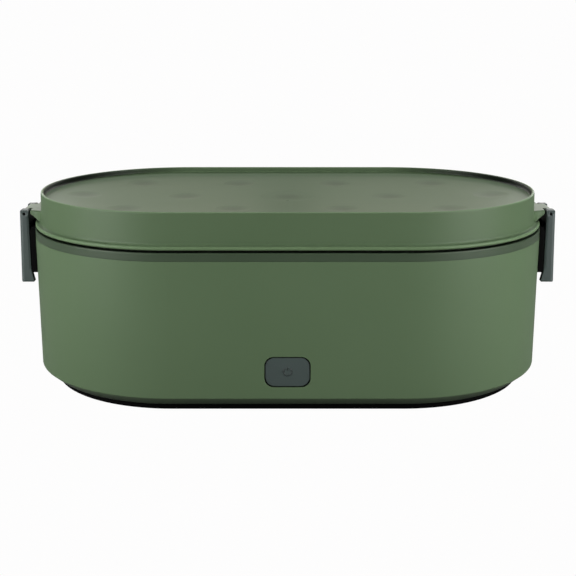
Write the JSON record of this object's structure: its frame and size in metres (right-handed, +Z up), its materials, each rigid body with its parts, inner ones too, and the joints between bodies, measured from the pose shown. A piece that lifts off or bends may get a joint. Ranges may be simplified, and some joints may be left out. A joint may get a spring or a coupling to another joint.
{
  "type": "electric lunch box",
  "caption": "Oblong electric lunch box: heated base with a steel food tray and a front button, and a lift-off lid held down by a swinging latch at each end.",
  "frame": {"origin": "on the surface that the feet stand on, under the middle of the box", "axes": "+X along the length, +Y towards the back with the power inlet, +Z up; the button is on the -Y side"},
  "size_m": [0.2508, 0.1352, 0.0907],
  "materials": {
    "shell_green": "satin moulded plastic, muted olive green",
    "collar_green": "satin moulded plastic, deep olive green",
    "trim_dark": "satin moulded plastic, dark grey green",
    "plastic_black": "matte black moulded plastic",
    "pan_aluminium": "drawn aluminium, lightly brushed",
    "tray_steel": "brushed stainless steel",
    "steel_hardware": "plated steel",
    "seal_silicone": "matte dark silicone",
    "liner_plastic": "natural white plastic",
    "foot_rubber": "matte black rubber",
    "board_green": "circuit board with solder mask",
    "component_black": "moulded component housings",
    "brass_contacts": "polished contact pins",
    "heater_tube": "dull heater sheath",
    "ceramic": "unglazed ceramic and bakelite",
    "wire_sleeve": "silicone wire sleeve"
  },
  "bodies": {
    "base": {"body_shell": "shell_green", "collar_ring": "collar_green", "catch_left": "plastic_black", "catch_right": "plastic_black", "heater_pan": "pan_aluminium", "pan_gasket": "seal_silicone", "heating_element": "heater_tube", "element_clamps": "steel_hardware", "thermostat": "ceramic", "thermal_fuse": "steel_hardware", "heat_shield": "steel_hardware", "shield_spacers": "steel_hardware", "shield_screws": "steel_hardware", "control_board": "board_green", "board_parts": "component_black", "board_screws": "steel_hardware", "switch_board": "board_green", "switch_screws": "steel_hardware", "tact_switch": "component_black", "wiring": "wire_sleeve", "power_inlet": "plastic_black", "inlet_pins": "brass_contacts", "base_cover": "plastic_black", "base_screws": "steel_hardware", "rubber_feet": "foot_rubber"},
    "lid": {"lid_shell": "shell_green", "lid_liner": "liner_plastic", "lid_seal": "seal_silicone", "hinge_pin_left": "steel_hardware", "hinge_pin_right": "steel_hardware"},
    "latch_left": {"latch_left": "trim_dark"},
    "latch_right": {"latch_right": "trim_dark"},
    "button": {"power_button": "trim_dark", "switch_plunger": "liner_plastic"},
    "tray": {"food_tray": "tray_steel"}
  },
  "joints": [
    {"name": "lid_lift", "type": "slide", "parent": "base", "child": "lid", "axis": [0, 0, 1], "range_m": [0, 0.1]},
    {"name": "tray_lift", "type": "slide", "parent": "base", "child": "tray", "axis": [0, 0, 1], "range_m": [0, 0.05]},
    {"name": "latch_left_swing", "type": "hinge", "parent": "lid", "child": "latch_left", "pos_m": [-0.1224, 0, 0.0799], "axis": [0, 1, 0], "range_deg": [0, 120]},
    {"name": "latch_right_swing", "type": "hinge", "parent": "lid", "child": "latch_right", "pos_m": [0.1224, 0, 0.0799], "axis": [0, -1, 0], "range_deg": [0, 120]},
    {"name": "button_press", "type": "slide", "parent": "base", "child": "button", "axis": [0, 1, 0], "range_m": [0, 0.0006], "stiffness_N_per_m": 1500, "springref_m": -0.0005}
  ],
  "couplings": [
    {"joint": "tray_lift", "follows": "lid_lift", "ratio": 0.5},
    {"joint": "latch_left_swing", "follows": "lid_lift", "rad_per_m": 20.94},
    {"joint": "latch_right_swing", "follows": "lid_lift", "rad_per_m": 20.94}
  ]
}
